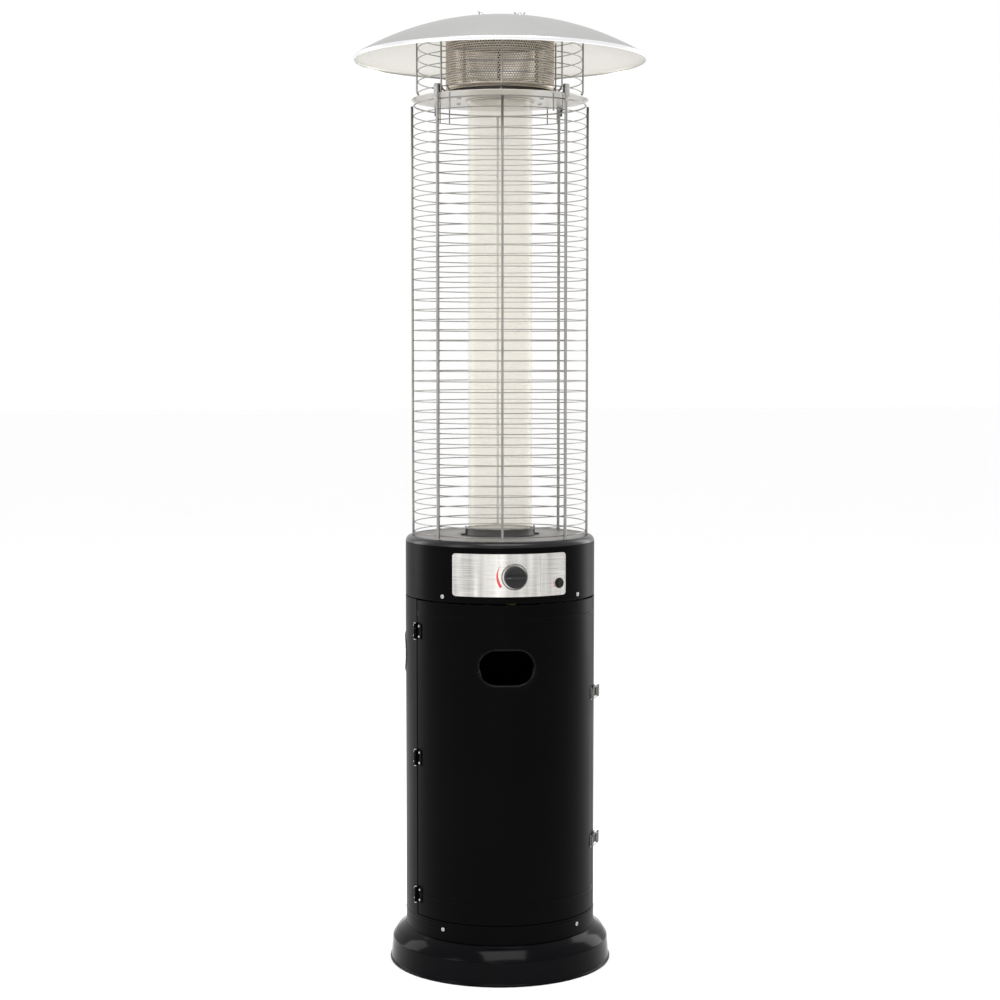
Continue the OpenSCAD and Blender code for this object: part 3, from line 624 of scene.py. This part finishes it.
def make_panel_marks():
    """Heat crescent, igniter arc, dial ticks and plain ruled lines, with no lettering."""
    build = Build()
    button_x = PANEL_R * math.sin(math.radians(BUTTON_A))
    mark(build, (0, KNOB_Z), 29.5, 34.5, 140, 217, 0)
    mark(build, (button_x, BUTTON_Z), 10.6, 12.0, 150, 215, 0)
    for i in range(9):
        a = math.radians(20 + 100 * i / 8)
        line_mark(build, 29 * math.cos(a), KNOB_Z + 29 * math.sin(a), 32 * math.cos(a),
                  KNOB_Z + 32 * math.sin(a), 0.4, steps=2)
    line_mark(build, 50, PANEL_Z[0] + 6, 50, PANEL_Z[1] - 4, 0.35)
    for row in range(4):
        line_mark(build, 52, PANEL_Z[1] - 12 - 9 * row, 88, PANEL_Z[1] - 12 - 9 * row, 0.3)
    line_mark(build, 40, PANEL_Z[0] + 23, 72, PANEL_Z[0] + 23, 0.3)
    for row in range(15):
        line_mark(build, -102, PANEL_Z[1] - 10 - 4.4 * row, -102 + 22 + 9 * (row % 3),
                  PANEL_Z[1] - 10 - 4.4 * row, 0.22)
    build.piece("panel_marks", FRAME_BODY, ["red", "ink"], "panel_steel")


def make_knob():
    """Fluted cap, the grip bar across it and its pointer line."""
    build = Build()
    back, face = KNOB_BACK, KNOB_FACE
    top = back + 13
    teeth, depth = 36, 0.35
    rows = []
    for r, h in ((KNOB_R - 0.6, back), (KNOB_R, back + 0.8), (KNOB_R, top - 2.0),
                 (KNOB_R - 0.5, top - 0.7), (KNOB_R - 1.8, top), (KNOB_R - 3.2, top),
                 (KNOB_R - 4.2, top - 0.7), (0.01, top - 0.9)):
        row = []
        for i in range(teeth * 6):
            a = 2 * math.pi * i / (teeth * 6)
            groove = depth * max(0.0, math.cos(teeth * a)) if r > KNOB_R - 0.7 else 0.0
            row.append(((r - groove) * math.cos(a), -h, KNOB_Z + (r - groove) * math.sin(a)))
        rows.append(row)
    build.grid(rows, closed=True)
    build.cap(rows[0])
    build.piece("knob_cap", "knob_body", ["knob"], "knob_plastic", ["knob"], sharp=50)
    grip = Build()
    length, half = KNOB_R - 1.6, 3.6
    sections = [(-0.2, half), (0.35, half * 0.92), (0.8, half * 0.75), (0.97, half * 0.45)]
    rise, steps = face - top, 24
    rows = []
    for i in range(steps + 1):
        x = -length + 2 * length * i / steps
        end = 1 - abs(x / length) ** 6
        width = half * (0.72 + 0.28 * math.cos(x / length * math.pi / 2)) * (0.35 + 0.65 * end)
        tall = rise * (0.35 + 0.65 * end)
        rows.append([(x, -(top - 1) - (tall + 1) * f, KNOB_Z + w / half * width)
                     for f, w in sections]
                    + [(x, -(top - 1) - (tall + 1) * f, KNOB_Z - w / half * width)
                       for f, w in sections[::-1]])
    grip.grid(rows, closed=True)
    grip.cap(rows[0])
    grip.cap(rows[-1])
    grip.piece("knob_grip", "knob_body", ["knob"], "knob_plastic", sharp=50)
    pointer = Build()
    tip = -face - 0.02
    pointer.grid([[(x, y, KNOB_Z - 0.5), (x, y, KNOB_Z + 0.5)]
                  for x, y in ((-length + 1.5, tip + 0.6), (-6, tip + 0.35))])
    pointer.piece("knob_pointer", "knob_body", ["ink"], "knob_plastic")


def make_bezels():
    """Wire ring round the knob, and the igniter's nut and button."""
    ring = Build()
    r = KNOB_R + 3.4
    rows = []
    for i in range(96):
        a = 2 * math.pi * i / 96
        row = []
        for k in range(12):
            t = 2 * math.pi * k / 12
            radius = r + 1.1 * math.cos(t)
            x, z = radius * math.cos(a), KNOB_Z + radius * math.sin(a)
            row.append(panel_point(x, z, 0.9 + 0.9 * math.sin(t)))
        rows.append(row)
    ring.grid(rows, closed=True, wrap=True)
    ring.piece("knob_ring", FRAME_BODY, ["wire"], "wire", ["knob_bezel"])
    out = Vector(polar(BUTTON_A, 1))
    nut = Build()
    nut.turned([(7.6, 0), (9.8, 0), (9.8, 1.3), (9.0, 2.0), (7.8, 2.0), (7.6, 1.6), (7.6, -0.5)],
               out * (PANEL_R + 0.1) + Vector((0, 0, BUTTON_Z)), out)
    nut.piece("igniter_nut", FRAME_BODY, ["plastic"], "black_plastic", ["igniter_bezel"])
    button = Build()
    button.turned([(3, -22), (3, 1.2), (6.6, 1.2), (7, 1.6), (7, 5.6), (6.4, 6.6), (5.2, 7),
                   (4.6, 6.7), (0.01, 6.5)], out * BODY_R + Vector((0, 0, BUTTON_Z)), out)
    button.piece("igniter_cap", "button_body", ["plastic"], "black_plastic", ["igniter_button"])


# ---- fasteners ------------------------------------------------------------------------------


def screw_head(build, place, out, radius=4.0, height=2.2):
    """Domed head with a cross recess that is cut into its top."""
    out = Vector(out).normalized()
    side = out.cross(Vector((0, 0, 1))).normalized()
    up = out.cross(side)
    steps, rings = 48, 9
    rows = [[tuple(Vector(place) + radius * (math.cos(t) * side + math.sin(t) * up))
             for t in (2 * math.pi * k / steps for k in range(steps))]]
    for i in range(rings + 1):
        f = i / rings
        row = []
        for k in range(steps):
            t = 2 * math.pi * k / steps
            r = radius * math.cos(f * math.pi / 2) + 0.02
            x, y = r * math.cos(t), r * math.sin(t)
            dome = height * (0.3 + 0.7 * math.sin(f * math.pi / 2) ** 0.8)
            cross = min(abs(x), abs(y)) < 0.45 and max(abs(x), abs(y)) < radius * 0.58
            h = dome - (0.9 if cross else 0.0)
            row.append(tuple(Vector(place) + x * side + y * up + out * h))
        rows.append(row)
    build.grid(rows, closed=True)


def make_screws():
    build = Build()
    for a in SCREW_AS:
        for z in (BASE_H + 21, HEAD_Z + 10):
            screw_head(build, polar(a, BODY_R, z), polar(a, 1))
    build.piece("pan_screws", FRAME_BODY, ["zinc"], "zinc", ["housing_screws"], sharp=60)


def rivet(build, place, out, radius=2.4, height=1.5):
    """Domed rivet head."""
    profile = [(radius, -0.6), (radius, 0.1)]
    profile += [(radius * math.cos(t), height * math.sin(t))
                for t in (math.pi / 2 * k / 6 for k in range(1, 6))] + [(0.05, height)]
    build.turned(profile, place, out, steps=24)


def make_rivets():
    for side, body, node in ((-1, FRAME_BODY, "hinge_body_rivets"),
                             (1, DOOR_BODY, "hinge_door_rivets")):
        build = Build()
        a = HINGE_A + side * 3
        for z in HINGE_ZS:
            for dz in (-10, 10):
                rivet(build, polar(a, BODY_R + 1.7, z + dz), polar(a, 1))
        build.piece(node.replace("_rivets", "_rivet_heads"), body, ["zinc"], "zinc", [node])


# ---- flame tube and guards ------------------------------------------------------------------


def make_glass():
    z0, z1 = GLASS_Z
    wall = 3
    outline = [(GLASS_R - 0.8, z0), (GLASS_R, z0 + 0.8)]
    outline += [(GLASS_R, z0 + 2 + (z1 - z0 - 4) * i / 6) for i in range(7)]
    outline += [(GLASS_R - 0.8, z1), (GLASS_R - wall + 0.8, z1)]
    outline += [(GLASS_R - wall, z1 - 2 - (z1 - z0 - 4) * i / 6) for i in range(7)]
    outline += [(GLASS_R - wall + 0.8, z0)]
    build = Build()
    build.lathe(outline, 144)
    build.piece("flame_tube", FRAME_BODY, ["glass"], "glass", ["glass_tube"], sharp=50)


def ring_path(radius, z, steps=144):
    return [polar(360 * i / steps, radius, z) for i in range(steps)]


def make_guard():
    rings = Build()
    for z in RING_ZS:
        thick = RING_WIRE if z < THICK_RING_Z else RING_WIRE + 0.5
        rings.tube(ring_path(RING_R + RING_WIRE - thick, z), thick, sides=8, closed=True)
    rings.piece("guard_rings", FRAME_BODY, ["wire"], "wire",
                ["guard_panel_1", "guard_panel_2", "guard_panel_3", "guard_panel_4"])
    rods = Build()
    for i in range(4):
        a = CAGE_TURN + 90 * i
        foot = [polar(a, ROD_RING, z) for z in (DECK_Z + 0.2, DECK_Z + 40, 1200, 1500, ROD_TOP)]
        rods.tube(foot, ROD_R, sides=16)
        rods.turned([(ROD_R, 0), (ROD_R * 0.7, 1.0), (0.1, 1.6)], polar(a, ROD_RING, ROD_TOP),
                    UP, steps=16)
        rods.turned([(ROD_R + 1.6, 0), (ROD_R + 1.6, 0.7), (ROD_R + 0.4, 1.8)],
                    polar(a, ROD_RING, DECK_Z + 0.1), UP, steps=24)
    rods.piece("guard_rods", FRAME_BODY, ["wire"], "wire", sharp=60)
    posts = Build()
    top = high("support_posts")[2]
    for i in range(4):
        a = POST_TURN + 90 * i
        posts.tube([polar(a, POST_RING, z) for z in (DECK_Z + 0.1, 1100, 1400, top)], POST_R,
                   sides=16)
        posts.turned([(POST_R + 2, 0), (POST_R + 2, 0.8), (POST_R + 0.4, 2.2)],
                     polar(a, POST_RING, DECK_Z + 0.1), UP, steps=24)
    posts.piece("support_post_rods", FRAME_BODY, ["wire"], "wire", ["support_posts"], sharp=60)


def bend(points, radius=4, steps=5):
    """Rounds the corners of a path of straight runs."""
    points = [Vector(p) for p in points]
    path = [points[0]]
    for a, b, c in zip(points, points[1:], points[2:]):
        start, end = b + (a - b).normalized() * radius, b + (c - b).normalized() * radius
        for i in range(steps + 1):
            t = i / steps
            path.append((1 - t) ** 2 * start + 2 * t * (1 - t) * b + t * t * end)
    return path + [points[-1]]


def make_head_guard():
    build = Build()
    ring_r = HEAD_RING_R - HEAD_ROD_R - RING_WIRE + 0.2
    for z in HEAD_RING_ZS:
        build.tube(ring_path(ring_r, z), RING_WIRE, sides=8, closed=True)
    for i in range(8):
        a = CAGE_TURN + 45 * i
        path = bend([polar(a, 150.5, DISC_Z + 4), polar(a, HEAD_RING_R, 1697),
                     polar(a, HEAD_RING_R, HEAD_GUARD_TOP)], 6)
        build.tube(path, HEAD_ROD_R, sides=12)
    build.piece("head_guard_cage", FRAME_BODY, ["wire"], "wire",
                ["head_guard_1", "head_guard_2", "head_guard_3", "head_guard_4"], sharp=60)


def make_brackets():
    """Straps that hold the posts to the head disc, with bolt heads and short hanging hooks."""
    build = Build()
    out_r, in_r, half = POST_RING + POST_R + 0.4, POST_RING - POST_R - 0.4, 4.5
    for i in range(4):
        a = POST_TURN + 90 * i
        spine = [(out_r + 0.75, 1668.4), (out_r + 0.75, 1699.5), (out_r - 1.5, STRAP_TOP),
                 (in_r + 0.4, STRAP_TOP), (in_r - 0.8, 1699.5), (in_r - 0.8, DISC_Z + 2.2)]
        side = Vector(polar(a + 90, 1))
        loop = []
        for r, z in spine:
            middle = Vector(polar(a, r, z))
            toward = Vector(UP if z == STRAP_TOP else polar(a, 1))
            left, right = middle - side * half, middle + side * half
            loop.append([tuple(p) for p in
                         (left, right, right + toward * 0.6, left + toward * 0.6)])
        build.grid(loop, closed=True)
        build.cap(loop[0])
        build.cap(loop[-1])
        rivet(build, polar(a, out_r + 1.3, 1694), polar(a, 1), 2.2, 1.3)
        rivet(build, polar(a, out_r + 1.3, 1676), polar(a, 1), 2.2, 1.3)
    build.piece("post_straps", FRAME_BODY, ["zinc"], "zinc", ["post_brackets"], sharp=40)
    hooks = Build()
    for i in range(4):
        for s in (-1, 1):
            a = POST_TURN + 90 * i + s * 5
            hooks.tube(bend([polar(a, 160, 1698), polar(a, 152, 1690), polar(a, 152, 1652)], 3),
                       1.4, sides=10)
    hooks.piece("guard_hooks", FRAME_BODY, ["wire"], "wire", sharp=60)


# ---- head -----------------------------------------------------------------------------------


def make_disc():
    z, hole = DISC_Z, GLASS_R + 3.4
    outline = [(hole, z), (hole + 8, z), (DISC_R - 3, z), (DISC_R - 0.4, z + 0.3),
               (DISC_R, z + 1), (DISC_R - 0.4, z + 1.7), (DISC_R - 3, z + 2),
               (DISC_R - 14, z + 2), (hole + 8, z + 2), (hole, z + 2)]
    build = Build()
    build.lathe(outline, 216)
    build.piece("head_plate", FRAME_BODY, ["disc"], "disc_steel", ["head_disc"], sharp=40)
    collar = Build()
    collar.lathe(shell_of([(GLASS_R + 4, DISC_Z - 1.5), (GLASS_R + 3.2, DISC_Z - 0.5),
                           (GLASS_R + 3.2, EMITTER_Z[0] - 0.2)], 1.2), 144)
    collar.lathe([(GLASS_R + 3, DISC_Z + 2.1), (GLASS_R + 9, DISC_Z + 2.1),
                  (GLASS_R + 9, DISC_Z + 3.2), (GLASS_R + 3, DISC_Z + 3.2)], 144)
    collar.piece("tube_top_collar", FRAME_BODY, ["disc"], "disc_steel", ["tube_collar"], sharp=40)
    studs = Build()
    for i in range(6):
        a = CAGE_TURN + 60 * i
        studs.tube([polar(a, SPACER_RING, z) for z in (DISC_Z + 2, EMITTER_Z[0])], 2.5, sides=14)
        studs.turned([(5, 0), (5, 3.4), (4.4, 4)], polar(a, SPACER_RING, DISC_Z + 2.1), UP,
                     steps=6)
        studs.turned([(4.2, 0), (4.2, -1.8), (3.2, -2.6)], polar(a, SPACER_RING, DISC_Z - 0.1),
                     UP, steps=24)
    studs.piece("spacer_studs", FRAME_BODY, ["zinc"], "zinc", ["head_spacers"], sharp=40)


def make_emitter():
    """Perforated drum: staggered round holes, one eight-sided ring of faces to each hole."""
    build = Build()
    z0, z1 = EMITTER_Z
    band = 9.0  # plain edge above and below the holes
    rows, columns = 18, 124
    hole = 0.4  # radius of a hole, in steps of the pattern
    row_step, step = (z1 - z0 - 2 * band) / rows, 360 / columns
    r = EMITTER_R - 0.05
    square = [(-0.5, -0.5), (0, -0.5), (0.5, -0.5), (0.5, 0), (0.5, 0.5), (0, 0.5), (-0.5, 0.5),
              (-0.5, 0)]
    turns = [math.atan2(v, u) for u, v in square]
    circle = [(hole * math.cos(t), hole * math.sin(t)) for t in turns]

    def at(u, v):
        return polar(u * step, r, z0 + band + v * row_step)

    for j in range(rows):
        for i in range(columns):
            cu, cv = i + 0.5 * (j % 2), j + 0.5
            build.grid([[at(cu + u, cv + v) for u, v in ring] for ring in (square, circle)],
                       closed=True)
    for a, b in ((z0, z0 + band), (z1 - band, z1)):
        build.grid([[polar(i * step / 2, r, z) for i in range(columns * 2)] for z in (a, b)],
                   closed=True)
    thicken(build.piece("emitter_drum", FRAME_BODY, ["emitter"], "emitter", ["emitter_screen"],
                        sharp=50), 0.9)
    rims = Build()
    for z in (z0 + 1.2, z1 - 1.2):
        rims.lathe(arc((EMITTER_R - 1.0, z), 1.2, 0, 360, 12)[:-1], 160)
    rims.piece("emitter_rims", FRAME_BODY, ["emitter"], "emitter")


def dome(radius, drop=0.0):
    """Height of the hood's sphere at a radius."""
    return APEX_Z - drop - DOME_R + math.sqrt(DOME_R * DOME_R - radius * radius)


def make_hood():
    build = Build()
    edge, steps = HOOD_R - 1.6, 48
    outside = [(edge * i / steps, dome(edge * i / steps)) for i in range(1, steps + 1)]
    skirt = [outside[-1], (HOOD_R - 0.6, dome(edge) - 1.2), (HOOD_R - 0.1, dome(edge) - 3),
             (HOOD_R - 0.1, RIM_Z + 3)]
    roll = arc((HOOD_R - 1.5, RIM_Z + 1.5), 1.45, 0, -180, 10)
    inside = [(HOOD_R - 1.3, RIM_Z + 3), (HOOD_R - 1.3, dome(edge) - 3.6)]
    inside += [(edge * i / steps - 0.6, dome(edge * i / steps, 1.0)) for i in range(steps, 0, -1)]
    build.lathe([(0.05, APEX_Z)] + outside, 240, kind=0, open_outline=True)
    # skirt and rolled rim: the pale metal here is a painted highlight band
    build.lathe(skirt + roll, 240, kind=2, open_outline=True)
    build.lathe([roll[-1]] + inside + [(0.05, APEX_Z - 1)], 240, kind=1, open_outline=True)
    build.piece("hood_shell", FRAME_BODY, ["hood_out", "hood_in", "hood_rim"], "hood_alu",
                ["hood"], sharp=50)


def make_wing_nuts():
    build = Build()
    for i in range(3):
        a = CAGE_TURN + 60 + 120 * i
        x, y, _ = polar(a, WING_NUT_RING)
        z = dome(35) + 0.1
        build.turned([(8, 0), (8, 1), (7.4, 1.3), (5, 1.4), (4.6, 3.6), (3.9, 4.8), (3.2, 5.1)],
                     (x, y, z), UP, steps=32)
        side = Vector(polar(a + 35, 1))
        for s in (-1, 1):
            ear = [Vector((x, y, z + 2.4)) + side * s * t + Vector((0, 0, h))
                   for t, h in ((2.5, 0), (6, 0.9), (8.6, 3.0), (10, 5.6))]
            build.tube(ear, 1.35, sides=12)
    build.piece("hood_wing_nuts", FRAME_BODY, ["zinc"], "zinc", ["wing_nuts"], sharp=50)


def make_floor():
    mesh = bpy.data.meshes.new("floor")
    side = 40  # metres
    mesh.from_pydata([(-side, -side, 0), (side, -side, 0), (side, side, 0), (-side, side, 0)], [],
                     [(0, 1, 2, 3)])
    mesh.materials.append(surface("pale_floor", (0.985, 0.985, 0.985), 0.005, (0.55, 0.65),
                                  grain=60, bump=0.01, patch=1.0, specular=0.2))
    floor = bpy.data.objects.new("floor", mesh)
    bpy.context.collection.objects.link(floor)


for make in (make_base, make_band, make_shells, make_housing, make_deck, make_panel,
             make_panel_marks, make_knob, make_bezels, make_screws, make_rivets, make_glass,
             make_guard, make_head_guard, make_brackets, make_disc, make_emitter, make_hood,
             make_wing_nuts, make_floor):
    make()

# ---- materials of the CAD nodes that stay ---------------------------------------------------

SLOT_MATERIALS = {
    "gloss_black": "gloss", "black_coat": "coat", "zinc": "zinc", "dark_steel": "dark",
    "panel_steel": "panel", "knob_plastic": "knob", "black_plastic": "plastic", "brass": "brass",
    "pipe": "pipe", "burner_steel": "burner", "deck_grey": "deck", "gasket": "gasket",
    "glass": "glass", "wire": "wire", "disc_steel": "disc", "emitter": "emitter",
    "hood_alu": "hood_out",
}
SPECIAL = {"latch": "latch", "emitter": "dark"}  # by the first word of a node's name
slots = {s["node"]: s["material_slot"] for s in frame["record"]["subparts"]}
for node, cad in frame["nodes"].items():
    finish = SPECIAL.get(node.split("_")[0], SLOT_MATERIALS[slots[node]])
    cad.data.materials.clear()
    cad.data.materials.append(MATERIALS[finish])
